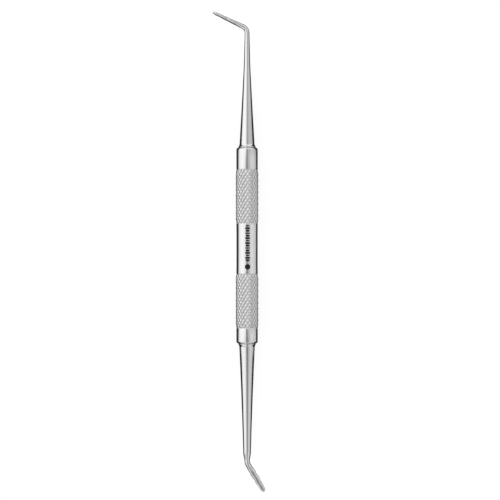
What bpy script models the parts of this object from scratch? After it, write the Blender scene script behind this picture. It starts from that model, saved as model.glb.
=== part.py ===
"""Double-ended dental elevator with a hollow knurled handle. Metres, +Z up.

The instrument lies on a table: the handle's axis runs along X and both bends lie in the horizontal plane.
The steep working end is at +X with its blade towards +Y, and the shallow one at -X with its blade towards -Y.
The origin is on the table, under the middle of the whole instrument.

Five pieces are brazed into one rigid tool: a knurled handle tube, a bored plug in each of its ends, and two
forged working ends, each a tang, a tapered shank, a bend and a serrated blade in one piece of steel.
"""

import bmesh
import bpy
from math import ceil, cos, pi, radians, sin, sqrt, tan
from mathutils import Vector

MM = 0.001

# Handle: a tube with two knurled bands, and a plain band at each end and between them.
HANDLE_LENGTH = 73.3 * MM
HANDLE_DIAMETER = 8.0 * MM
TUBE_WALL = 1.0 * MM
END_ROUNDING = 0.75 * MM
KNURL_RISE = 0.22 * MM
KNURL_CHAMFER = 0.35 * MM
END_LAND = 0.2 * MM
STEEP_BAND_LENGTH = 7.9 * MM
STEEP_KNURL_LENGTH = 20.9 * MM
SHALLOW_BAND_LENGTH = 5.3 * MM
SHALLOW_KNURL_LENGTH = 21.0 * MM
WAIST_DEPTH = 0.03 * MM
WAIST_BLEND = 3.6 * MM

# End plugs: short bored cylinders that carry the tangs inside the tube.
PLUG_LENGTH = 10.0 * MM
PLUG_CHAMFER = 0.3 * MM

# Fits: the space that the braze fills, and the seam between a shank's collar and the handle's end.
BRAZE_GAP = 0.1 * MM
SEAM_GAP = 0.25 * MM

# Tang and collar, the same on both working ends.
TANG_LENGTH = 9.0 * MM
TANG_DIAMETER = 3.4 * MM
TANG_CHAMFER = 0.4 * MM
COLLAR_DIAMETER = 6.5 * MM
COLLAR_EDGE = 0.15 * MM
COLLAR_FLARE = 1.2 * MM

# Steep working end, at +X. Lengths run from the shank's seat on the handle to the bend's corner, and from the
# corner to the tip. The cone is the long taper, a little hollow halfway down, and the neck is the thin part
# before the bend. The roll turns the blade's broad face about its own length, and the first notch is measured
# back from the tip.
STEEP_SHANK_LENGTH = 44.4 * MM
STEEP_SHANK_DIAMETER = 5.6 * MM
STEEP_CONE_LENGTH = 30.5 * MM
STEEP_CONE_TIP_DIAMETER = 2.4 * MM
STEEP_CONE_HOLLOW = 0.03 * MM
STEEP_NECK_DIAMETER = 1.75 * MM
STEEP_BEND_ANGLE = radians(64.5)
STEEP_BEND_RADIUS = 2.6 * MM
STEEP_BLADE_LENGTH = 14.1 * MM
STEEP_BLADE_ROLL = radians(101)
STEEP_TOOTH_PITCH = 4.0 * MM
STEEP_FIRST_NOTCH = 1.5 * MM

# Shallow working end, at -X.
SHALLOW_SHANK_LENGTH = 44.6 * MM
SHALLOW_SHANK_DIAMETER = 5.8 * MM
SHALLOW_CONE_LENGTH = 41.2 * MM
SHALLOW_CONE_TIP_DIAMETER = 2.84 * MM
SHALLOW_CONE_HOLLOW = 0.1 * MM
SHALLOW_NECK_DIAMETER = 2.0 * MM
SHALLOW_BEND_ANGLE = radians(31.2)
SHALLOW_BEND_RADIUS = 4.5 * MM
SHALLOW_BLADE_LENGTH = 12.5 * MM
SHALLOW_BLADE_ROLL = radians(-3)
SHALLOW_TOOTH_PITCH = 3.15 * MM
SHALLOW_FIRST_NOTCH = 1.05 * MM

# Blades: a flattened oval section, squarer than an ellipse, that narrows and thins towards the tip. One
# oblique groove cuts staggered scallops into its two edges and fades away on its broad faces.
BLADE_WIDTH = 2.44 * MM
BLADE_TIP_WIDTH = 1.7 * MM
BLADE_THICKNESS = 1.6 * MM
BLADE_TIP_THICKNESS = 0.9 * MM
BLADE_HEEL_LENGTH = 3.0 * MM
BLADE_TIP_ROUNDING = 1.5 * MM
TOOTH_DEPTH = 0.2 * MM
OVAL_POWER = 2.4

# How finely the solids are faceted: sides around, rings along, and the edge angle that stays sharp.
TURNED_SIDES = 24
FORGED_SIDES = 24
END_ROUNDING_STEPS = 4
WAIST_STEPS = 4
FLARE_STEPS = 5
CONE_STEPS = 4
NECK_STEPS = 3
BEND_STEP = radians(9)
FEWEST_BEND_STEPS = 4
RINGS_PER_TOOTH = 7
TIP_RINGS = 6
TIP_END = 0.999  # how far round the tip's curve the last ring is, so that the tip closes on a tiny flat
SHARP_EDGE = radians(30)
SCREW_MERGE = 0.00001

# The table is under the knurled bands, and the origin is under the middle of the whole instrument.
KNURL_RADIUS = HANDLE_DIAMETER / 2 + KNURL_RISE
AXIS_HEIGHT = KNURL_RADIUS
STEEP_REACH = STEEP_SHANK_LENGTH + STEEP_BLADE_LENGTH * cos(STEEP_BEND_ANGLE)
SHALLOW_REACH = SHALLOW_SHANK_LENGTH + SHALLOW_BLADE_LENGTH * cos(SHALLOW_BEND_ANGLE)
STEEP_SIDE = STEEP_BLADE_LENGTH * sin(STEEP_BEND_ANGLE)
SHALLOW_SIDE = SHALLOW_BLADE_LENGTH * sin(SHALLOW_BEND_ANGLE)
HANDLE_CENTRE = Vector(
    ((SHALLOW_REACH - STEEP_REACH) / 2, (SHALLOW_SIDE - STEEP_SIDE) / 2, AXIS_HEIGHT)
)


def clear_scene():
    for obj in list(bpy.data.objects):
        bpy.data.objects.remove(obj, do_unlink=True)


def steel(name, colour, roughness):
    """A stainless steel material."""
    material = bpy.data.materials.new(name)
    material.use_nodes = True
    shader = material.node_tree.nodes["Principled BSDF"]
    shader.inputs["Base Color"].default_value = (*colour, 1)
    shader.inputs["Metallic"].default_value = 1
    shader.inputs["Roughness"].default_value = roughness
    return material


def add_piece(name, mesh, material, parent):
    """Puts a mesh in the instrument's collection as one named piece, held by the handle's centre."""
    piece = bpy.data.objects.new(name, mesh)
    mesh.materials.append(material)
    bpy.data.collections["dental_elevator"].objects.link(piece)
    piece.parent = parent
    return piece


def rounded_edge(centre, radius, start):
    """Points (radius, height) on the quarter circle that runs clockwise from an angle in degrees."""
    angles = [radians(start - 90 * i / END_ROUNDING_STEPS) for i in range(END_ROUNDING_STEPS + 1)]
    return [(centre[0] + radius * cos(a), centre[1] + radius * sin(a)) for a in angles]


def turned_mesh(name, outline):
    """A closed ring outline as a mesh, turned about local Z by a Screw modifier with a flat side underneath.

    The outline is a list of (radius, height). Radii are to the flat sides, as a spanner measures a nut.
    """
    half_side = tan(pi / TURNED_SIDES)
    mesh = bpy.data.meshes.new(name)
    points = [(r, r * half_side, z) for r, z in outline]
    edges = [(i, (i + 1) % len(points)) for i in range(len(points))]
    mesh.from_pydata(points, edges, [])
    return mesh


def turn(piece):
    """Turns the piece's outline, and lays its local Z along the handle's axis."""
    screw = piece.modifiers.new("turn", "SCREW")
    screw.axis = "Z"
    screw.steps = TURNED_SIDES
    screw.render_steps = TURNED_SIDES
    screw.use_merge_vertices = True
    screw.merge_threshold = SCREW_MERGE
    screw.use_smooth_shade = True
    piece.rotation_euler = (0, pi / 2, 0)


def knurled_band(top, bottom):
    """The outline of a raised band with chamfered ends, from its top down."""
    radius = HANDLE_DIAMETER / 2
    return [
        (radius, top),
        (radius + KNURL_RISE, top - KNURL_CHAMFER),
        (radius + KNURL_RISE, bottom + KNURL_CHAMFER),
        (radius, bottom),
    ]


def waist(top, bottom):
    """The outline of the centre section: it eases in to a slightly slimmer grip and out again."""
    radius = HANDLE_DIAMETER / 2
    ease = [(i / WAIST_STEPS, (1 - cos(pi * i / WAIST_STEPS)) / 2) for i in range(1, WAIST_STEPS + 1)]
    going_in = [(radius - WAIST_DEPTH * d, top - WAIST_BLEND * s) for s, d in ease]
    going_out = [(r, top + bottom - z) for r, z in reversed(going_in)]
    return going_in + going_out


def make_handle(parent):
    """The tube, drawn down its outside and up its bore, which is open at both ends."""
    radius = HANDLE_DIAMETER / 2
    bore = radius - TUBE_WALL
    top = HANDLE_LENGTH / 2
    knurl_top = top - STEEP_BAND_LENGTH
    centre_top = knurl_top - STEEP_KNURL_LENGTH
    knurl_bottom = -top + SHALLOW_BAND_LENGTH
    centre_bottom = knurl_bottom + SHALLOW_KNURL_LENGTH
    rounding = min(END_ROUNDING, TUBE_WALL - END_LAND)
    outline = rounded_edge((radius - rounding, top - rounding), rounding, 90)
    outline += knurled_band(knurl_top, centre_top)
    outline += waist(centre_top, centre_bottom)
    outline += knurled_band(centre_bottom, knurl_bottom)
    outline += rounded_edge((radius - rounding, rounding - top), rounding, 0)
    outline += [(bore, -top), (bore, top)]
    mesh = turned_mesh("handle_tube", outline)
    piece = add_piece("handle_tube", mesh, steel("satin_steel", (0.62, 0.61, 0.61), 0.35), parent)
    turn(piece)


def make_plug(name, side, parent):
    """A bored plug, flush with one end of the tube. side is 1 at +X and -1 at -X."""
    outer = HANDLE_DIAMETER / 2 - TUBE_WALL - BRAZE_GAP
    inner = TANG_DIAMETER / 2 + BRAZE_GAP
    half = PLUG_LENGTH / 2
    outline = [
        (outer - PLUG_CHAMFER, half),
        (outer, half - PLUG_CHAMFER),
        (outer, PLUG_CHAMFER - half),
        (outer - PLUG_CHAMFER, -half),
        (inner, -half),
        (inner, half),
    ]
    mesh = turned_mesh(name, outline)
    piece = add_piece(name, mesh, steel(name + "_steel", (0.5, 0.5, 0.51), 0.45), parent)
    turn(piece)
    piece.location = (side * (HANDLE_LENGTH / 2 - half), 0, 0)


def ring_of(centre, along, roll, half_width, half_thickness, power=2, groove_depth=0, groove_turn=0):
    """The points of one section square to the path. Its width is turned about the path by roll.

    A power of 2 is an ellipse, and a larger one is squarer. The groove is a dip in the outline. It is
    deepest where the angle round the section is minus groove_turn, and fades away on the broad faces.
    """
    level = Vector((-along.y, along.x, 0))
    up = Vector((0, 0, 1))
    wide = level * cos(roll) + up * sin(roll)
    thick = up * cos(roll) - level * sin(roll)
    points = []
    for i in range(FORGED_SIDES):
        angle = 2 * pi * i / FORGED_SIDES
        c, s = cos(angle), sin(angle)
        x = half_width * abs(c) ** (2 / power) * (1 if c > 0 else -1)
        y = half_thickness * abs(s) ** (2 / power) * (1 if s > 0 else -1)
        wave = (1 + cos(angle + groove_turn)) / 2
        scale = 1 - groove_depth / (BLADE_WIDTH / 2) * wave * wave * abs(c)
        points.append(centre + (wide * x + thick * y) * scale)
    return points


def between(low, high, share):
    """The value that lies a share of the way from low to high."""
    return low + (high - low) * share


def smooth(share):
    """A share from 0 to 1, eased at both ends."""
    share = min(max(share, 0), 1)
    return share * share * (3 - 2 * share)


def shank_stations(shank_diameter, cone_length, cone_tip_diameter, cone_hollow, neck_diameter, neck_end):
    """(distance, radius) from the tang's inner end to the start of the bend."""
    tang = TANG_DIAMETER / 2
    collar = COLLAR_DIAMETER / 2
    root = shank_diameter / 2
    cone_tip = cone_tip_diameter / 2
    stations = [
        (-TANG_LENGTH, tang - TANG_CHAMFER),
        (TANG_CHAMFER - TANG_LENGTH, tang),
        (0, tang),
        (0, collar - COLLAR_EDGE),
    ]
    for i in range(FLARE_STEPS + 1):
        share = i / FLARE_STEPS
        distance = between(COLLAR_EDGE, COLLAR_FLARE, share)
        stations.append((distance, between(root, collar, (1 - share) ** 2)))
    for i in range(1, CONE_STEPS + 1):
        share = i / CONE_STEPS
        hollow = cone_hollow * 4 * share * (1 - share)
        distance = between(COLLAR_FLARE, cone_length, share)
        stations.append((distance, between(root, cone_tip, share) - hollow))
    for i in range(1, NECK_STEPS + 1):
        share = i / NECK_STEPS
        stations.append((between(cone_length, neck_end, share), between(cone_tip, neck_diameter / 2, share)))
    return stations


def blade_section(distance, length, neck_radius, pitch):
    """Half width, half thickness, oval power and groove depth at a distance from the blade's heel."""
    heel = smooth(distance / BLADE_HEEL_LENGTH)
    to_tip = distance / length
    width = between(neck_radius, between(BLADE_WIDTH, BLADE_TIP_WIDTH, to_tip * to_tip) / 2, heel)
    full = between(BLADE_THICKNESS, BLADE_TIP_THICKNESS, to_tip) / 2
    thickness = between(neck_radius, full, heel)
    power = between(2, OVAL_POWER, heel)
    left = length - distance
    if left < BLADE_TIP_ROUNDING:
        around = min(1 - left / BLADE_TIP_ROUNDING, TIP_END)
        rounded = sqrt(1 - around * around)
        width *= rounded
        thickness *= sqrt(rounded)
    depth = TOOTH_DEPTH * heel * smooth(left / pitch)
    return width, thickness, power, depth


def loft(name, rings):
    """A closed mesh through rings of points, each end closed by one face."""
    bm = bmesh.new()
    verts = [[bm.verts.new(point) for point in ring] for ring in rings]
    for first, second in zip(verts, verts[1:]):
        for i in range(len(first)):
            j = (i + 1) % len(first)
            bm.faces.new((first[i], first[j], second[j], second[i]))
    bm.faces.new(list(reversed(verts[0])))
    bm.faces.new(verts[-1])
    bmesh.ops.recalc_face_normals(bm, faces=bm.faces)
    mesh = bpy.data.meshes.new(name)
    bm.to_mesh(mesh)
    bm.free()
    mesh.shade_smooth()
    mesh.set_sharp_from_angle(angle=SHARP_EDGE)
    return mesh


def make_working_end(
    name,
    side,
    parent,
    shank_length,
    shank_diameter,
    cone_length,
    cone_tip_diameter,
    cone_hollow,
    neck_diameter,
    bend_angle,
    bend_radius,
    blade_length,
    blade_roll,
    tooth_pitch,
    first_notch,
):
    """One forged end, drawn along local +X from its tang and bending towards local +Y.

    side is 1 for the end at +X and -1 for the one at -X, which is the same drawing turned half round.
    """
    setback = bend_radius * tan(bend_angle / 2)
    bend_start = shank_length - setback
    neck_radius = neck_diameter / 2
    rings = []
    for distance, radius in shank_stations(
        shank_diameter, cone_length, cone_tip_diameter, cone_hollow, neck_diameter, bend_start
    ):
        rings.append(ring_of(Vector((distance, 0, 0)), Vector((1, 0, 0)), blade_roll, radius, radius))

    bend_steps = max(FEWEST_BEND_STEPS, ceil(bend_angle / BEND_STEP))
    for i in range(1, bend_steps):
        angle = bend_angle * i / bend_steps
        centre = Vector((bend_start + bend_radius * sin(angle), bend_radius * (1 - cos(angle)), 0))
        along = Vector((cos(angle), sin(angle), 0))
        rings.append(ring_of(centre, along, blade_roll, neck_radius, neck_radius))

    along = Vector((cos(bend_angle), sin(bend_angle), 0))
    heel = Vector((shank_length, 0, 0)) + along * setback
    length = blade_length - setback
    straight = length - BLADE_TIP_ROUNDING
    straight_rings = ceil(straight / tooth_pitch * RINGS_PER_TOOTH)
    distances = [straight * i / straight_rings for i in range(straight_rings)]
    for i in range(TIP_RINGS + 1):
        distances.append(straight + BLADE_TIP_ROUNDING * sin(pi / 2 * i / TIP_RINGS))
    for distance in distances:
        width, thickness, power, depth = blade_section(distance, length, neck_radius, tooth_pitch)
        groove_turn = 2 * pi * (length - distance - first_notch) / tooth_pitch
        centre = heel + along * distance
        rings.append(ring_of(centre, along, blade_roll, width, thickness, power, depth, groove_turn))

    mesh = loft(name, rings)
    piece = add_piece(name, mesh, steel(name + "_steel", (0.72, 0.71, 0.71), 0.18), parent)
    piece.location = (side * (HANDLE_LENGTH / 2 + SEAM_GAP), 0, 0)
    piece.rotation_euler = (0, 0, 0 if side > 0 else pi)


def main():
    clear_scene()
    collection = bpy.data.collections.new("dental_elevator")
    bpy.context.scene.collection.children.link(collection)
    centre = bpy.data.objects.new("handle_centre", None)
    centre.location = HANDLE_CENTRE
    collection.objects.link(centre)

    make_handle(centre)
    make_plug("steep_end_plug", 1, centre)
    make_plug("shallow_end_plug", -1, centre)
    make_working_end(
        "steep_working_end",
        1,
        centre,
        shank_length=STEEP_SHANK_LENGTH,
        shank_diameter=STEEP_SHANK_DIAMETER,
        cone_length=STEEP_CONE_LENGTH,
        cone_tip_diameter=STEEP_CONE_TIP_DIAMETER,
        cone_hollow=STEEP_CONE_HOLLOW,
        neck_diameter=STEEP_NECK_DIAMETER,
        bend_angle=STEEP_BEND_ANGLE,
        bend_radius=STEEP_BEND_RADIUS,
        blade_length=STEEP_BLADE_LENGTH,
        blade_roll=STEEP_BLADE_ROLL,
        tooth_pitch=STEEP_TOOTH_PITCH,
        first_notch=STEEP_FIRST_NOTCH,
    )
    make_working_end(
        "shallow_working_end",
        -1,
        centre,
        shank_length=SHALLOW_SHANK_LENGTH,
        shank_diameter=SHALLOW_SHANK_DIAMETER,
        cone_length=SHALLOW_CONE_LENGTH,
        cone_tip_diameter=SHALLOW_CONE_TIP_DIAMETER,
        cone_hollow=SHALLOW_CONE_HOLLOW,
        neck_diameter=SHALLOW_NECK_DIAMETER,
        bend_angle=SHALLOW_BEND_ANGLE,
        bend_radius=SHALLOW_BEND_RADIUS,
        blade_length=SHALLOW_BLADE_LENGTH,
        blade_roll=SHALLOW_BLADE_ROLL,
        tooth_pitch=SHALLOW_TOOTH_PITCH,
        first_notch=SHALLOW_FIRST_NOTCH,
    )


main()
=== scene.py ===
# %% [markdown]
# # A double-ended dental elevator
#
# The instrument is a hollow steel handle with two knurled bands, and a forged working end brazed into each
# end of it. Its CAD model says where every piece is. This lesson makes the surfaces that a person sees: the
# knurl's diamonds, the turned and forged steel, the blades' teeth, the seams and the etched marks.
#
# The CAD model comes first, as a fixed frame. Its box is kept, because nothing that is made here may leave
# it.

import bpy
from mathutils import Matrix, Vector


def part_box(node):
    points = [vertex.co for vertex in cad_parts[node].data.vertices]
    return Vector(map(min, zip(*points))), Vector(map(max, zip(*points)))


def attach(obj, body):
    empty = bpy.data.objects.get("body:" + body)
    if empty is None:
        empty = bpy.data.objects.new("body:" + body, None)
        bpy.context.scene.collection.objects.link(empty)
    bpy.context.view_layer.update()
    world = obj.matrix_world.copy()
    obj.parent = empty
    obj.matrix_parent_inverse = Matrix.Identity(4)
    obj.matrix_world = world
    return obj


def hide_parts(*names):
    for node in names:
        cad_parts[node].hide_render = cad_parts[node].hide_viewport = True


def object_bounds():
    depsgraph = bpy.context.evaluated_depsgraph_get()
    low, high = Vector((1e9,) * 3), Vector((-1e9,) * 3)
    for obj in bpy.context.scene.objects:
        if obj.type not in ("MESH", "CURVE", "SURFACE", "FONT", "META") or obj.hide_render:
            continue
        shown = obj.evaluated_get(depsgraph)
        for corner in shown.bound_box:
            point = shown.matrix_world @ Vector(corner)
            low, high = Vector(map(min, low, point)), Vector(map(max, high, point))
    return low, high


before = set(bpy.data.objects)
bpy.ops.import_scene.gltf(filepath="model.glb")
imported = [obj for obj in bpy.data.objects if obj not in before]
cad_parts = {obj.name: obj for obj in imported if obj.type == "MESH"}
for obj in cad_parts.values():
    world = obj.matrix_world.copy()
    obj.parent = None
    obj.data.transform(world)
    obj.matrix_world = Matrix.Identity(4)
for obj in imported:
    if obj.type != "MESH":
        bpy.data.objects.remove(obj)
cad_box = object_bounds()
print("CAD nodes:", sorted(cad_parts))

# %% [markdown]
# ## Where the handle is
#
# The handle's box gives its two ends and its axis. Everything round the handle is first made about the X
# axis, at the middle of the handle, and moved into place at the end. The instrument lies on a table, so its
# axis is one knurl radius up.

# %% Read the handle's place from its box
import bmesh
import bpy
import math
from mathutils import Matrix, Vector

MM = 0.001
handle_low, handle_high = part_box("handle_tube")
HANDLE_LENGTH = handle_high.x - handle_low.x
KNURL_RADIUS = (handle_high.z - handle_low.z) / 2
HANDLE_MIDDLE = (handle_low + handle_high) / 2
print(f"handle {HANDLE_LENGTH / MM:.1f} mm long, {2 * KNURL_RADIUS / MM:.2f} mm across its knurling")

# %% [markdown]
# ## The camera
#
# The view is square to the table, straight down on the instrument, with the steep end at the top of the
# picture. A long lens from far away keeps the sides parallel, as a catalogue picture does. The camera's
# turn of a quarter circle about Z puts +X at the top and -Y on the right.

# %% Set up the camera
VIEW_WIDTH = 187.35 * MM
VIEW_OFFSET = Vector((-1.67 * MM, -1.1 * MM, 0))
CAMERA_DISTANCE = 0.9
SENSOR_WIDTH_MM = 36

camera_data = bpy.data.cameras.new("camera")
camera_data.sensor_width = SENSOR_WIDTH_MM
camera_data.lens = SENSOR_WIDTH_MM * CAMERA_DISTANCE / VIEW_WIDTH
camera = bpy.data.objects.new("camera", camera_data)
camera.location = HANDLE_MIDDLE + VIEW_OFFSET + Vector((0, 0, CAMERA_DISTANCE))
camera.rotation_euler = (0, 0, -math.pi / 2)
bpy.context.scene.collection.objects.link(camera)
bpy.context.scene.camera = camera
print(f"camera with a {camera_data.lens:.0f} mm lens, {CAMERA_DISTANCE} m up")

# %% [markdown]
# ## The handle, turned in a lathe
#
# A real handle starts as a tube in a lathe. In Blender the same shape is a profile, a chain of points with
# a distance along the axis and a radius, that Spin takes once round the axis. One profile runs down the
# whole outside and back through the bore, so the skin is closed.
#
# The knurl's pattern decides the grid. Diamonds come from two sets of slanting grooves that cross. If the
# points are an eighth of a diamond apart both along and around, every groove runs through the corners of
# the grid's squares, and a cross cut in each square puts an edge along it.

# %% Choose the handle's sizes
HANDLE_RADIUS = 4.0 * MM
TUBE_WALL = 1.0 * MM
END_ROUNDING = 0.75 * MM
STEEP_BAND_LENGTH = 7.9 * MM
STEEP_KNURL_LENGTH = 20.9 * MM
SHALLOW_BAND_LENGTH = 5.3 * MM
SHALLOW_KNURL_LENGTH = 21.0 * MM
WAIST_DEPTH = 0.03 * MM
WAIST_BLEND = 3.6 * MM

DIAMONDS_AROUND = 17
DIAMOND_LENGTH = 2.2 * MM
STEPS_PER_DIAMOND = 8
SIDES = DIAMONDS_AROUND * STEPS_PER_DIAMOND

steep_knurl_top = HANDLE_LENGTH / 2 - STEEP_BAND_LENGTH
steep_knurl_bottom = steep_knurl_top - STEEP_KNURL_LENGTH
shallow_knurl_bottom = SHALLOW_BAND_LENGTH - HANDLE_LENGTH / 2
shallow_knurl_top = shallow_knurl_bottom + SHALLOW_KNURL_LENGTH
print(f"{SIDES} sides, diamonds {2 * math.pi * HANDLE_RADIUS / DIAMONDS_AROUND / MM:.2f} mm wide")

# %% Draw the handle's profile


def rounded_end(along, turn):
    """The quarter round at an end of the tube: turn is 1 at the steep end and -1 at the shallow one."""
    steps = 10
    points = []
    for i in range(steps + 1):
        angle = math.pi / 2 * i / steps
        reach = along - turn * END_ROUNDING * (1 - math.cos(angle))
        points.append((reach, HANDLE_RADIUS - END_ROUNDING * (1 - math.sin(angle))))
    return points


def knurl_rows(top, bottom):
    """Rows an eighth of a diamond apart, stretched a little to fill the band exactly."""
    rows = round((top - bottom) / DIAMOND_LENGTH * STEPS_PER_DIAMOND)
    return [(top + (bottom - top) * i / rows, HANDLE_RADIUS) for i in range(rows + 1)]


def waist_points(top, bottom):
    """The centre section eases in to a slightly slimmer grip, runs straight, and eases out again."""
    steps = 12
    down = []
    for i in range(1, steps + 1):
        ease = (1 - math.cos(math.pi * i / steps)) / 2
        down.append((top - WAIST_BLEND * i / steps, HANDLE_RADIUS - WAIST_DEPTH * ease))
    return down + [(top + bottom - x, r) for x, r in reversed(down)]


profile = rounded_end(HANDLE_LENGTH / 2, 1)
profile += knurl_rows(steep_knurl_top, steep_knurl_bottom)
profile += waist_points(steep_knurl_bottom, shallow_knurl_top)
profile += knurl_rows(shallow_knurl_top, shallow_knurl_bottom)
profile += reversed(rounded_end(-HANDLE_LENGTH / 2, -1))
profile += [(-HANDLE_LENGTH / 2, HANDLE_RADIUS - TUBE_WALL), (HANDLE_LENGTH / 2, HANDLE_RADIUS - TUBE_WALL)]
print(len(profile), "points in the profile")

# %% Spin the profile into a tube
WELD = 1e-7


def spin_profile(points, sides, closed):
    """Turns a chain of (along, radius) points once about the X axis, and welds the seam and the poles."""
    bm = bmesh.new()
    verts = [bm.verts.new((x, 0, r)) for x, r in points]
    edges = [bm.edges.new(pair) for pair in zip(verts, verts[1:])]
    if closed:
        edges.append(bm.edges.new((verts[-1], verts[0])))
    bmesh.ops.spin(
        bm, geom=verts + edges, cent=(0, 0, 0), axis=(1, 0, 0), angle=2 * math.pi, steps=sides, use_merge=True
    )
    bmesh.ops.remove_doubles(bm, verts=bm.verts, dist=WELD)
    return bm


handle = spin_profile(profile, SIDES, closed=True)
print(len(handle.faces), "faces in the plain tube")

# %% [markdown]
# ## The knurling, pressed in
#
# A knurling tool rolls two crossing sets of grooves into the blank, and the metal between them rises into
# rows of diamonds a little higher than the blank was. Here each square of the two bands is cut crosswise
# with Poke, and then every point goes to the height that the nearest groove gives it. One of the two wheels
# is set slightly deeper than the other. The groove is a soft V, because rolled metal has no sharp corners,
# and its depth is kept on the mesh as an attribute, so that the steel can be duller down there and painted
# darker there as painted shade.

# %% Cross-cut the squares of the two bands


def in_band(x, top, bottom, margin=0.0):
    """Whether x lies in the band, made wider at both ends by the margin."""
    return bottom - margin < x < top + margin


bands = [(steep_knurl_top, steep_knurl_bottom), (shallow_knurl_top, shallow_knurl_bottom)]
skin_radius = HANDLE_RADIUS - TUBE_WALL / 2
squares = []
for face in handle.faces:
    middle = face.calc_center_median()
    outside = math.hypot(middle.y, middle.z) > skin_radius
    if outside and any(in_band(middle.x, *band) for band in bands):
        squares.append(face)
bmesh.ops.poke(handle, faces=squares)
print(len(squares), "squares cut crosswise")

# %% Press the grooves
GROOVE_DEPTH = 0.26 * MM
GROOVE_HALF_WIDTH = 0.36
CROWN = 0.14
RUN_OUT = 0.28
FIRST_COLUMN = 0.25
SECOND_WHEEL = 0.85


def eased(share):
    """0 below 0, 1 above 1, and a soft S between them."""
    share = min(max(share, 0.0), 1.0)
    return share * share * (3 - 2 * share)


def groove_at(turns):
    """How deep one groove is, from 1 at its bottom to 0 on a diamond's crown, at a distance in diamonds."""
    away = abs(turns - round(turns))
    wall = max(0.0, 1 - away / GROOVE_HALF_WIDTH)
    return (1 - CROWN) * wall + CROWN * (1 - 2 * away) ** 2


depth_layer = handle.verts.layers.float.new("groove")
for top, bottom in bands:
    rows = round((top - bottom) / DIAMOND_LENGTH * STEPS_PER_DIAMOND)
    diamond = (top - bottom) / rows * STEPS_PER_DIAMOND
    for vert in handle.verts:
        radius = math.hypot(vert.co.y, vert.co.z)
        if radius < skin_radius or not in_band(vert.co.x, top, bottom, -WELD):
            continue
        around = math.atan2(vert.co.y, vert.co.z) / (2 * math.pi) * DIAMONDS_AROUND + FIRST_COLUMN
        along = (vert.co.x - bottom) / diamond
        from_end = min(vert.co.x - bottom, top - vert.co.x) / diamond
        groove = max(groove_at(around + along), SECOND_WHEEL * groove_at(around - along))
        groove *= eased(from_end / RUN_OUT)
        vert[depth_layer] = groove
        crest = HANDLE_RADIUS + (KNURL_RADIUS - HANDLE_RADIUS) * eased(from_end)
        stretch = (crest - GROOVE_DEPTH * groove) / radius
        vert.co.y *= stretch
        vert.co.z *= stretch
print("grooves pressed,", len(handle.verts), "points")

# %% [markdown]
# ## Putting a mesh into the scene
#
# Every finished piece goes the same way: its place goes into the mesh, so that the object itself stays at
# the origin, its faces are turned to point outwards, it is tied to the CAD body it moves with, and the CAD
# part that it replaces, if any, is hidden. Smooth shading stops at edges that are sharper than an angle.

# %% Finish the handle


def finish_piece(bm, name, place, replaced=None, sharp_degrees=40):
    """Moves the mesh into place, makes an object of it, and ties it to the frame."""
    bmesh.ops.transform(bm, matrix=place, verts=bm.verts)
    bmesh.ops.recalc_face_normals(bm, faces=bm.faces)
    mesh = bpy.data.meshes.new(name)
    bm.to_mesh(mesh)
    bm.free()
    mesh.shade_smooth()
    mesh.set_sharp_from_angle(angle=math.radians(sharp_degrees))
    piece = bpy.data.objects.new(name, mesh)
    bpy.context.scene.collection.objects.link(piece)
    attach(piece, "root")
    if replaced:
        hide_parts(replaced)
    mesh.calc_loop_triangles()
    print(f"{name}: {len(mesh.loop_triangles)} triangles")
    return piece


handle_piece = finish_piece(
    handle,
    "knurled_handle",
    Matrix.Translation(HANDLE_MIDDLE),
    "handle_tube",
    sharp_degrees=50,
)

# %% [markdown]
# ## The working ends, from a turned blank to a bent blade
#
# Each working end is one piece of steel. A maker turns a straight blank with its tang, collar and long
# cone, forges its end flat, grinds the teeth, and bends it last. The mesh goes through the same steps. Spin
# makes the straight blank, and then each point is moved: first its section is flattened, then grooved, and
# then the whole rod is laid along a path that goes straight, round the bend, and straight again.
#
# The two ends are the same drawing with different numbers, so the numbers are kept together in one
# dictionary for each end.

# %% Choose the working ends' sizes
SEAM_GAP = 0.25 * MM
TANG_LENGTH = 9.0 * MM
TANG_RADIUS = 1.7 * MM
TANG_CHAMFER = 0.4 * MM
COLLAR_RADIUS = 3.25 * MM
COLLAR_EDGE = 0.15 * MM
COLLAR_FLARE = 1.2 * MM

BLADE_HALF_WIDTH = 1.22 * MM
TIP_HALF_WIDTH = 0.85 * MM
BLADE_HALF_THICKNESS = 0.8 * MM
TIP_HALF_THICKNESS = 0.45 * MM
HEEL_LENGTH = 3.0 * MM
TIP_ROUNDING = 1.5 * MM
TOOTH_DEPTH = 0.2 * MM
OVAL_POWER = 2.4

steep = {
    "shank_length": 44.4 * MM,
    "shank_radius": 2.8 * MM,
    "cone_length": 30.5 * MM,
    "cone_tip_radius": 1.2 * MM,
    "cone_hollow": 0.03 * MM,
    "neck_radius": 0.875 * MM,
    "bend_angle": math.radians(64.5),
    "bend_radius": 2.6 * MM,
    "blade_length": 14.1 * MM,
    "blade_roll": math.radians(101),
    "tooth_pitch": 4.0 * MM,
    "first_notch": 1.5 * MM,
}
shallow = {
    "shank_length": 44.6 * MM,
    "shank_radius": 2.9 * MM,
    "cone_length": 41.2 * MM,
    "cone_tip_radius": 1.42 * MM,
    "cone_hollow": 0.1 * MM,
    "neck_radius": 1.0 * MM,
    "bend_angle": math.radians(31.2),
    "bend_radius": 4.5 * MM,
    "blade_length": 12.5 * MM,
    "blade_roll": math.radians(-3),
    "tooth_pitch": 3.15 * MM,
    "first_notch": 1.05 * MM,
}
for end, label in ((steep, "steep"), (shallow, "shallow")):
    print(f"{label} blade {end['blade_length'] / MM:.1f} mm long")

# %% Turn a straight blank
FLARE_STEPS, CONE_STEPS, NECK_STEPS, BEND_STEPS = 12, 24, 12, 16
BLADE_STEPS, TIP_STEPS = 70, 16
FORGED_SIDES = 64


def between(start, end, share):
    """The value that lies a share of the way from start to end."""
    return start + (end - start) * share


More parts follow.
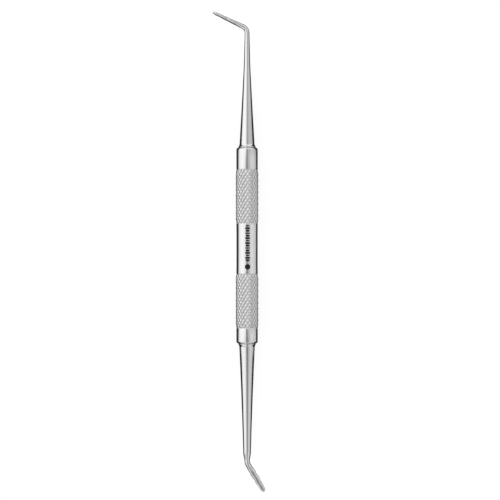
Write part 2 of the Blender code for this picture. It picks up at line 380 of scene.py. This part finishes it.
def path_lengths(end):
    """Distances along the straight blank to the bend's start, the bend's end and the blade's tip."""
    setback = end["bend_radius"] * math.tan(end["bend_angle"] / 2)
    bend_start = end["shank_length"] - setback
    bend_end = bend_start + end["bend_radius"] * end["bend_angle"]
    return bend_start, bend_end, bend_end + end["blade_length"] - setback


def blank_profile(end):
    """(distance, radius) from the middle of the tang's inner face, over the outside, to the tip."""
    bend_start, bend_end, tip = path_lengths(end)
    points = [
        (-TANG_LENGTH, 0),
        (-TANG_LENGTH, TANG_RADIUS - TANG_CHAMFER),
        (TANG_CHAMFER - TANG_LENGTH, TANG_RADIUS),
        (0, TANG_RADIUS),
        (0, COLLAR_RADIUS - COLLAR_EDGE / 3),
        (COLLAR_EDGE / 3, COLLAR_RADIUS),
        (COLLAR_EDGE, COLLAR_RADIUS),
    ]
    for i in range(1, FLARE_STEPS + 1):
        share = i / FLARE_STEPS
        distance = between(COLLAR_EDGE, COLLAR_FLARE, share)
        points.append((distance, between(end["shank_radius"], COLLAR_RADIUS, (1 - share) ** 2)))
    for i in range(1, CONE_STEPS + 1):
        share = i / CONE_STEPS
        hollow = end["cone_hollow"] * 4 * share * (1 - share)
        radius = between(end["shank_radius"], end["cone_tip_radius"], share) - hollow
        points.append((between(COLLAR_FLARE, end["cone_length"], share), radius))
    for i in range(1, NECK_STEPS + 1):
        share = i / NECK_STEPS
        radius = between(end["cone_tip_radius"], end["neck_radius"], share)
        points.append((between(end["cone_length"], bend_start, share), radius))
    for i in range(1, BEND_STEPS + 1):
        points.append((between(bend_start, bend_end, i / BEND_STEPS), end["neck_radius"]))
    straight_end = tip - TIP_ROUNDING
    for i in range(1, BLADE_STEPS + 1):
        points.append((between(bend_end, straight_end, i / BLADE_STEPS), end["neck_radius"]))
    for i in range(1, TIP_STEPS):
        distance = straight_end + TIP_ROUNDING * math.sin(math.pi / 2 * i / TIP_STEPS)
        points.append((distance, end["neck_radius"]))
    points.append((tip, 0))
    return points


for end, label in ((steep, "steep"), (shallow, "shallow")):
    print(label, "blank:", len(blank_profile(end)), "points in the profile")

# %% Flatten, groove and bend


def blade_section(end, distance, angle):
    """(across the width, across the thickness, notch) of the blade at a distance and an angle round it."""
    _, bend_end, tip = path_lengths(end)
    from_heel, left = distance - bend_end, tip - distance
    heel = eased(from_heel / HEEL_LENGTH)
    share = from_heel / (tip - bend_end)
    width = between(end["neck_radius"], between(BLADE_HALF_WIDTH, TIP_HALF_WIDTH, share * share), heel)
    thickness = between(end["neck_radius"], between(BLADE_HALF_THICKNESS, TIP_HALF_THICKNESS, share), heel)
    power = between(2, OVAL_POWER, heel)
    if left < TIP_ROUNDING:
        closing = math.sqrt(max(0.0, 1 - (1 - left / TIP_ROUNDING) ** 2))
        width *= closing
        thickness *= math.sqrt(closing)
    c, s = math.cos(angle), math.sin(angle)
    x = math.copysign(width * abs(c) ** (2 / power), c)
    y = math.copysign(thickness * abs(s) ** (2 / power), s)
    wave = (1 + math.cos(angle + 2 * math.pi * (left - end["first_notch"]) / end["tooth_pitch"])) / 2
    notch = wave * wave * abs(c) * heel * eased(left / end["tooth_pitch"])
    kept = 1 - TOOTH_DEPTH / BLADE_HALF_WIDTH * notch
    return x * kept, y * kept, notch


def on_path(end, distance):
    """The point of the bent path at a distance along it, and the path's direction there."""
    bend_start, bend_end, _ = path_lengths(end)
    turn = min(max(distance - bend_start, 0), bend_end - bend_start) / end["bend_radius"]
    along = Vector((math.cos(turn), math.sin(turn), 0))
    point = Vector((min(distance, bend_start), 0, 0))
    point += end["bend_radius"] * Vector((math.sin(turn), 1 - math.cos(turn), 0))
    point += max(distance - bend_end, 0) * along
    return point, along


def forge(bm, end):
    """Moves every point of the straight blank to where the finished working end has it."""
    _, bend_end, _ = path_lengths(end)
    # The notch depth is kept as the groove attribute, which makes the notches duller and paints them darker
    # as painted shade.
    tooth_layer = bm.verts.layers.float.new("groove")
    roll = end["blade_roll"]
    for vert in bm.verts:
        distance = vert.co.x
        radius = math.hypot(vert.co.y, vert.co.z)
        angle = math.atan2(vert.co.z, vert.co.y) - roll
        if distance > bend_end and radius > 0:
            wide, thick, vert[tooth_layer] = blade_section(end, distance, angle)
        else:
            wide, thick = radius * math.cos(angle), radius * math.sin(angle)
        point, along = on_path(end, distance)
        level = Vector((-along.y, along.x, 0))
        up = Vector((0, 0, 1))
        width_axis = level * math.cos(roll) + up * math.sin(roll)
        thickness_axis = up * math.cos(roll) - level * math.sin(roll)
        vert.co = point + width_axis * wide + thickness_axis * thick


steep_seat = Vector((handle_high.x + SEAM_GAP, HANDLE_MIDDLE.y, HANDLE_MIDDLE.z))
shallow_seat = Vector((handle_low.x - SEAM_GAP, HANDLE_MIDDLE.y, HANDLE_MIDDLE.z))
half_turn = Matrix.Rotation(math.pi, 4, "Z")

steep_mesh = spin_profile(blank_profile(steep), FORGED_SIDES, closed=False)
forge(steep_mesh, steep)
steep_piece = finish_piece(
    steep_mesh, "steep_end", Matrix.Translation(steep_seat), "steep_working_end"
)
shallow_mesh = spin_profile(blank_profile(shallow), FORGED_SIDES, closed=False)
forge(shallow_mesh, shallow)
shallow_piece = finish_piece(
    shallow_mesh,
    "shallow_end",
    Matrix.Translation(shallow_seat) @ half_turn,
    "shallow_working_end",
)

# %% [markdown]
# ## The braze seams
#
# The collar of each working end is brazed to the handle. What shows is a hairline of filler, slightly below
# the steel on both sides and duller than it. It is a thin ring with a hollow edge, turned like the handle.

# %% Turn the two seams
SEAM_RADIUS = 3.25 * MM
SEAM_HOLLOW = 0.03 * MM
SEAM_BORE = 1.9 * MM


def seam_profile():
    """A ring as wide as the gap, whose outside is a shallow hollow."""
    steps = 6
    points = []
    for i in range(steps + 1):
        share = i / steps
        radius = SEAM_RADIUS - SEAM_HOLLOW * 4 * share * (1 - share)
        points.append((between(0, SEAM_GAP, share), radius))
    return points + [(SEAM_GAP, SEAM_BORE), (0, SEAM_BORE)]


seams = []
for name, start in (("steep_seam", handle_high.x), ("shallow_seam", handle_low.x - SEAM_GAP)):
    ring = spin_profile(seam_profile(), SIDES, closed=True)
    place = Matrix.Translation((start, HANDLE_MIDDLE.y, HANDLE_MIDDLE.z))
    seams.append(finish_piece(ring, name, place))

# %% [markdown]
# ## The etched marks
#
# The centre of the handle carries a line of dark laser etching. These marks are plain ones: a row of bars,
# and a plain round spot. Each is a thin patch that starts flat, is bent round the handle's waist, and
# stands a hair above it, so that the black doesn't flicker into the steel.

# %% Lay out the marks
MARK_LIFT = 0.006 * MM
MARK_SIDE = -0.2 * MM
BAR_WIDTH = 1.8 * MM
BAR_PITCH = 0.92 * MM
BAR_COUNT = 15
LONG_BAR, SHORT_BAR = 0.76, 0.5
WIDE_BAR, NARROW_BAR = 1.0, 0.8
FIRST_BAR = 7.35 * MM
SPOT_PLACE = -7.95 * MM
SPOT_RADIUS = 1.05 * MM
SPOT_SIDES = 40


def waist_radius_at(x):
    """The radius of the centre section at a distance along the handle from its middle."""
    from_edge = min(steep_knurl_bottom - x, x - shallow_knurl_top)
    share = min(max(from_edge / WAIST_BLEND, 0), 1)
    return HANDLE_RADIUS - WAIST_DEPTH * (1 - math.cos(math.pi * share)) / 2


def add_bar(bm, x, length, width):
    """One flat bar, in a grid fine enough to bend."""
    across_steps = 10
    made = bmesh.ops.create_grid(bm, x_segments=2, y_segments=across_steps, size=0.5)
    bmesh.ops.scale(bm, vec=(length, width, 1), verts=made["verts"])
    bmesh.ops.translate(bm, vec=(x, 0, 0), verts=made["verts"])


def add_spot(bm, x, radius):
    """A flat disc, in rings fine enough to bend."""
    rings = 7
    made = bmesh.ops.create_circle(bm, cap_ends=True, cap_tris=False, radius=radius, segments=SPOT_SIDES)
    bmesh.ops.translate(bm, vec=(x, 0, 0), verts=made["verts"])
    face = made["verts"][0].link_faces[0]
    for _ in range(rings - 1):
        bmesh.ops.inset_individual(bm, faces=[face], thickness=radius / rings)


marks = bmesh.new()
for i in range(BAR_COUNT):
    length = BAR_PITCH * (LONG_BAR if i % 3 else SHORT_BAR)
    width = BAR_WIDTH * (WIDE_BAR if i % 2 else NARROW_BAR)
    add_bar(marks, FIRST_BAR - BAR_PITCH * i, length, width)
add_spot(marks, SPOT_PLACE, SPOT_RADIUS)
print(len(marks.faces), "flat faces in the marks")

# %% Bend the marks round the handle
for vert in marks.verts:
    radius = waist_radius_at(vert.co.x) + MARK_LIFT
    angle = (vert.co.y + MARK_SIDE) / radius
    vert.co = Vector((vert.co.x, radius * math.sin(angle), radius * math.cos(angle)))
marks_piece = finish_piece(marks, "etched_marks", Matrix.Translation(HANDLE_MIDDLE))

# %% [markdown]
# ## Steel finishes
#
# All the steel is the same alloy, and what differs is how it was worked. Every finish starts from a
# metallic Principled shader. A noise stretched along one direction stands for the lines that a tool leaves,
# and drives a very small bump. A wide, soft noise moves the roughness a little, as handling and polishing
# do. The pattern reads Object coordinates, in metres, so a scale of 1000 is one cell for each millimetre.

# %% A helper for worked steel
HANDLING_SCALE = 350
HANDLING_RANGE = (0.3, 0.7)


def worked_steel(name, colour, roughness, spread, lines, line_depth):
    """A steel with tool lines: lines is the noise's scale on X, Y and Z, and line_depth is in metres."""
    material = bpy.data.materials.new(name)
    material.use_nodes = True
    nodes, links = material.node_tree.nodes, material.node_tree.links
    shader = nodes["Principled BSDF"]
    shader.inputs["Base Color"].default_value = (*colour, 1)
    shader.inputs["Metallic"].default_value = 1.0

    place = nodes.new("ShaderNodeTexCoord")
    wide = nodes.new("ShaderNodeTexNoise")
    wide.inputs["Scale"].default_value = HANDLING_SCALE
    wide.inputs["Detail"].default_value = 4
    links.new(place.outputs["Object"], wide.inputs["Vector"])
    rough = nodes.new("ShaderNodeMapRange")
    rough.inputs["From Min"].default_value = HANDLING_RANGE[0]
    rough.inputs["From Max"].default_value = HANDLING_RANGE[1]
    rough.inputs["To Min"].default_value = roughness - spread
    rough.inputs["To Max"].default_value = roughness + spread
    links.new(wide.outputs["Fac"], rough.inputs["Value"])
    links.new(rough.outputs["Result"], shader.inputs["Roughness"])

    stretch = nodes.new("ShaderNodeMapping")
    stretch.inputs["Scale"].default_value = lines
    links.new(place.outputs["Object"], stretch.inputs["Vector"])
    tool = nodes.new("ShaderNodeTexNoise")
    tool.inputs["Scale"].default_value = 1
    tool.inputs["Detail"].default_value = 3
    links.new(stretch.outputs["Vector"], tool.inputs["Vector"])
    bump = nodes.new("ShaderNodeBump")
    bump.inputs["Strength"].default_value = 1.0
    bump.inputs["Distance"].default_value = line_depth
    links.new(tool.outputs["Fac"], bump.inputs["Height"])
    links.new(bump.outputs["Normal"], shader.inputs["Normal"])
    print(f"finish {name}: roughness {roughness} +- {spread}")
    return material


def paint_shade_and_dull_grooves(material, colour, painted_shade_colour, roughness, groove_roughness):
    """Makes the grooves that the mesh's own attribute marks duller, and paints them darker as painted shade.
    """
    nodes, links = material.node_tree.nodes, material.node_tree.links
    shader = nodes["Principled BSDF"]
    depth = nodes.new("ShaderNodeAttribute")
    depth.attribute_name = "groove"
    painted_shade_mix = nodes.new("ShaderNodeMix")
    painted_shade_mix.data_type = "RGBA"
    painted_shade_mix.inputs["A"].default_value = (*colour, 1)
    painted_shade_mix.inputs["B"].default_value = (*painted_shade_colour, 1)
    links.new(depth.outputs["Fac"], painted_shade_mix.inputs["Factor"])
    links.new(painted_shade_mix.outputs["Result"], shader.inputs["Base Color"])
    rough = nodes.new("ShaderNodeMapRange")
    rough.inputs["To Min"].default_value = roughness
    rough.inputs["To Max"].default_value = groove_roughness
    links.new(depth.outputs["Fac"], rough.inputs["Value"])
    links.new(rough.outputs["Result"], shader.inputs["Roughness"])


# %% Paint the handle
TURNED_LINES = (9000, 250, 250)
HANDLE_STEEL = (0.64, 0.635, 0.635)
KNURL_STEEL = (0.63, 0.625, 0.625)
# The darker colour painted into the knurl's grooves is painted shade, not a different steel.
KNURL_GROOVE_PAINTED_SHADE = (0.46, 0.455, 0.455)
ROLLED_GRAIN = (2500, 2500, 2500)
turned = worked_steel(
    "polished_turned_steel",
    HANDLE_STEEL,
    roughness=0.16,
    spread=0.03,
    lines=TURNED_LINES,
    line_depth=0.0012 * MM,
)
rolled = worked_steel(
    "rolled_knurl_steel", KNURL_STEEL, roughness=0.3, spread=0.05, lines=ROLLED_GRAIN, line_depth=0.003 * MM
)
# The knurl's grooves are made duller, and painted darker as painted shade.
paint_shade_and_dull_grooves(rolled, KNURL_STEEL, KNURL_GROOVE_PAINTED_SHADE, roughness=0.22, groove_roughness=0.42)
handle_piece.data.materials.append(turned)
handle_piece.data.materials.append(rolled)
for face in handle_piece.data.polygons:
    x = face.center.x - HANDLE_MIDDLE.x
    outside = (face.center - HANDLE_MIDDLE).yz.length > skin_radius
    face.material_index = 1 if outside and any(in_band(x, *band) for band in bands) else 0

# %% Paint the working ends
BLADE_STEEL = (0.62, 0.615, 0.615)
# The darker colour painted into the teeth's notches is painted shade, not a different steel.
TOOTH_PAINTED_SHADE = (0.46, 0.455, 0.455)
LENGTHWISE_LINES = (120, 7000, 7000)
forged = worked_steel(
    "polished_forged_steel",
    BLADE_STEEL,
    roughness=0.15,
    spread=0.03,
    lines=LENGTHWISE_LINES,
    line_depth=0.001 * MM,
)
paint_shade_and_dull_grooves(forged, BLADE_STEEL, TOOTH_PAINTED_SHADE, roughness=0.15, groove_roughness=0.3)
for piece in (steep_piece, shallow_piece):
    piece.data.materials.append(forged)

# %% Paint the seams, the plugs and the marks
SILVER = (0.47, 0.465, 0.455)
PLUG_STEEL = (0.5, 0.5, 0.51)
OXIDE = (0.03, 0.03, 0.032)
BRAZE_GRAIN = (4000, 4000, 4000)
PLUG_LINES = (5000, 200, 200)
OXIDE_GRAIN = (6000, 6000, 6000)
braze = worked_steel(
    "silver_braze", SILVER, roughness=0.3, spread=0.06, lines=BRAZE_GRAIN, line_depth=0.004 * MM
)
for piece in seams:
    piece.data.materials.append(braze)
machined = worked_steel(
    "machined_plug_steel", PLUG_STEEL, roughness=0.42, spread=0.06, lines=PLUG_LINES, line_depth=0.006 * MM
)
for node in ("steep_end_plug", "shallow_end_plug"):
    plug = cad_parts[node]
    plug.data.materials.clear()
    plug.data.materials.append(machined)
oxide = worked_steel(
    "etched_oxide", OXIDE, roughness=0.55, spread=0.12, lines=OXIDE_GRAIN, line_depth=0.003 * MM
)
marks_piece.data.materials.append(oxide)

# %% [markdown]
# ## Table and light
#
# Polished steel shows its surroundings, so the light is designed as what the steel should see: a white
# tent, brighter on one side, with a dark slit overhead and darkness from below. The world's light depends
# first on the direction's angle about the handle's axis, in degrees, because that is what a cylinder along
# X mirrors.
#
# A flat or tapered face also mirrors the tent's ends, so the level changes along X too. There is one curve
# for overhead, one for the left of the tent and one for its right. LEFT_SIDE and RIGHT_SIDE say where round
# the axis each of the two takes over. The tent's wall at the steep end has a level of its own that depends
# on height. Three dark cards round each working end give the slim ends the dark edges that the handle
# already has.
#
# The table is a pale, softly glowing sheet, as under a catalogue picture. The steel doesn't mirror it, or
# its edges would be lost in white.

# %% Build the tent of light
TENT = [
    (-180, 0.04),
    (-116, 0.06),
    (-109, 0.80),
    (-90, 0.90),
    (-76, 0.97),
    (-60, 1.10),
    (-45, 1.08),
    (-28, 0.85),
    (-14, 0.66),
    (-6, 0.36),
    (8, 0.36),
    (12, 1.14),
    (26, 1.32),
    (50, 1.52),
    (75, 1.44),
    (90, 1.26),
    (102, 1.05),
    (108, 0.06),
    (180, 0.04),
]
OVERHEAD_ALONG = [
    (-1, 0.9),
    (-0.4, 0.95),
    (-0.1, 0.72),
    (0, 0.95),
    (0.1, 1.25),
    (0.22, 1.3),
    (0.4, 1.7),
    (0.7, 1.4),
    (1, 1.0),
]
LEFT_ALONG = [
    (-1, 0.9),
    (-0.72, 0.85),
    (-0.5, 0.48),
    (-0.28, 0.8),
    (-0.12, 1.0),
    (0, 0.97),
    (0.3, 1.1),
    (1, 1.1),
]
RIGHT_ALONG = [
    (-1, 0.9),
    (-0.3, 0.95),
    (-0.1, 0.86),
    (0, 1.08),
    (0.1, 0.7),
    (0.17, 0.78),
    (0.3, 1.1),
    (1, 1.2),
]
LEFT_SIDE = [(-180, 0), (12, 0), (32, 1), (180, 1)]
RIGHT_SIDE = [(-180, 1), (-28, 1), (-10, 0), (180, 0)]
END_WALL = [(-1, 0), (0.58, 0), (0.9, 1), (1, 1)]
END_WALL_LEVELS = [(-1, 0.04), (-0.34, 0.06), (-0.28, 1.0), (1, 1.0)]
BRIGHTEST = 2.0


def light_curve(nodes, links, value, low, high, levels):
    """Turns a value between low and high into a light level, or into a share from 0 to 1.

    The levels are (place, level) pairs. Their places run evenly from low to high, in any unit.
    """
    share = nodes.new("ShaderNodeMapRange")
    share.inputs["From Min"].default_value = low
    share.inputs["From Max"].default_value = high
    links.new(value, share.inputs["Value"])
    ramp = nodes.new("ShaderNodeFloatCurve")
    curve = ramp.mapping.curves[0]
    first, last = levels[0][0], levels[-1][0]
    places = [((at - first) / (last - first), level / BRIGHTEST) for at, level in levels]
    curve.points[0].location = places[0]
    curve.points[1].location = places[-1]
    for place in places[1:-1]:
        curve.points.new(*place)
    for point in curve.points:
        point.handle_type = "VECTOR"
    ramp.mapping.update()
    links.new(share.outputs["Result"], ramp.inputs["Value"])
    strength = nodes.new("ShaderNodeMath")
    strength.operation = "MULTIPLY"
    strength.inputs[1].default_value = BRIGHTEST
    links.new(ramp.outputs["Value"], strength.inputs[0])
    return strength.outputs["Value"]


world = bpy.data.worlds.new("tent")
world.use_nodes = True
bpy.context.scene.world = world
nodes, links = world.node_tree.nodes, world.node_tree.links
background = nodes["Background"]
background.inputs["Color"].default_value = (1, 1, 1, 1)
direction = nodes.new("ShaderNodeTexCoord")
split = nodes.new("ShaderNodeSeparateXYZ")
links.new(direction.outputs["Generated"], split.inputs["Vector"])
angle = nodes.new("ShaderNodeMath")
angle.operation = "ARCTAN2"
links.new(split.outputs["Y"], angle.inputs[0])
links.new(split.outputs["Z"], angle.inputs[1])
around = light_curve(nodes, links, angle.outputs["Value"], -math.pi, math.pi, TENT)
along = light_curve(nodes, links, split.outputs["X"], -1, 1, OVERHEAD_ALONG)
for side, levels in ((LEFT_SIDE, LEFT_ALONG), (RIGHT_SIDE, RIGHT_ALONG)):
    mix = nodes.new("ShaderNodeMix")
    share = light_curve(nodes, links, angle.outputs["Value"], -math.pi, math.pi, side)
    links.new(share, mix.inputs["Factor"])
    links.new(along, mix.inputs["A"])
    links.new(light_curve(nodes, links, split.outputs["X"], -1, 1, levels), mix.inputs["B"])
    along = mix.outputs["Result"]
end_wall = light_curve(nodes, links, split.outputs["X"], -1, 1, END_WALL)
end_level = light_curve(nodes, links, split.outputs["Z"], -1, 1, END_WALL_LEVELS)
walls = nodes.new("ShaderNodeMix")
links.new(end_wall, walls.inputs["Factor"])
links.new(around, walls.inputs["A"])
links.new(end_level, walls.inputs["B"])
level = nodes.new("ShaderNodeMath")
level.operation = "MULTIPLY"
links.new(walls.outputs["Result"], level.inputs[0])
links.new(along, level.inputs[1])
links.new(level.outputs["Value"], background.inputs["Strength"])
print("tent with", len(TENT), "levels")

# %% Lay the table and hang the backdrop
STAGE_RADIUS = 3.0
TABLE_SIDES = 96
TABLE_GREY = (0.14, 0.14, 0.14)
TABLE_GLOW = 0.89
BACKDROP_SIDES, BACKDROP_RINGS = 64, 32
BLACK = (0, 0, 0)
BACKDROP_GLOW = 0.97
STAGE_ROUGHNESS = 0.9


def stage_piece(name, bm, colour, emission):
    """Makes a matt object of the mesh, which glows white by the emission."""
    mesh = bpy.data.meshes.new(name)
    bm.to_mesh(mesh)
    bm.free()
    stage = bpy.data.objects.new(name, mesh)
    bpy.context.scene.collection.objects.link(stage)
    material = bpy.data.materials.new(name)
    material.use_nodes = True
    shader = material.node_tree.nodes["Principled BSDF"]
    shader.inputs["Base Color"].default_value = (*colour, 1)
    shader.inputs["Roughness"].default_value = STAGE_ROUGHNESS
    shader.inputs["Specular IOR Level"].default_value = 0.0
    shader.inputs["Emission Color"].default_value = (1, 1, 1, 1)
    shader.inputs["Emission Strength"].default_value = emission
    mesh.materials.append(material)
    return stage


bm = bmesh.new()
bmesh.ops.create_circle(bm, cap_ends=True, radius=STAGE_RADIUS, segments=TABLE_SIDES)
bmesh.ops.translate(bm, vec=(0, 0, cad_box[0].z), verts=bm.verts)
table = stage_piece("table", bm, TABLE_GREY, TABLE_GLOW)
table.visible_glossy = False

bm = bmesh.new()
bmesh.ops.create_uvsphere(bm, u_segments=BACKDROP_SIDES, v_segments=BACKDROP_RINGS, radius=STAGE_RADIUS)
bmesh.ops.reverse_faces(bm, faces=bm.faces)
backdrop = stage_piece("backdrop", bm, BLACK, BACKDROP_GLOW)
for ray in ("visible_glossy", "visible_diffuse", "visible_shadow", "visible_transmission"):
    setattr(backdrop, ray, False)

# %% Stand the dark cards round the working ends
CARD_BLACK = (0.02, 0.02, 0.02)
CARD_DISTANCE = 60 * MM
CARD_TOP = 1 * MM
CARD_FOOT = -30 * MM
CARD_ENDS = (44 * MM, 150 * MM)

bm = bmesh.new()
near, far = CARD_ENDS
for end in (-1, 1):
    fold = [(near, -CARD_DISTANCE), (far, -CARD_DISTANCE), (far, CARD_DISTANCE), (near, CARD_DISTANCE)]
    feet = [bm.verts.new((end * x, y, CARD_FOOT)) for x, y in fold]
    tops = [bm.verts.new((end * x, y, CARD_TOP)) for x, y in fold]
    for i in range(len(fold) - 1):
        bm.faces.new((feet[i], feet[i + 1], tops[i + 1], tops[i]))
cards = stage_piece("cards", bm, CARD_BLACK, 0.0)
for ray in ("visible_camera", "visible_diffuse", "visible_shadow", "visible_transmission"):
    setattr(cards, ray, False)

bpy.context.scene.view_settings.view_transform = "Standard"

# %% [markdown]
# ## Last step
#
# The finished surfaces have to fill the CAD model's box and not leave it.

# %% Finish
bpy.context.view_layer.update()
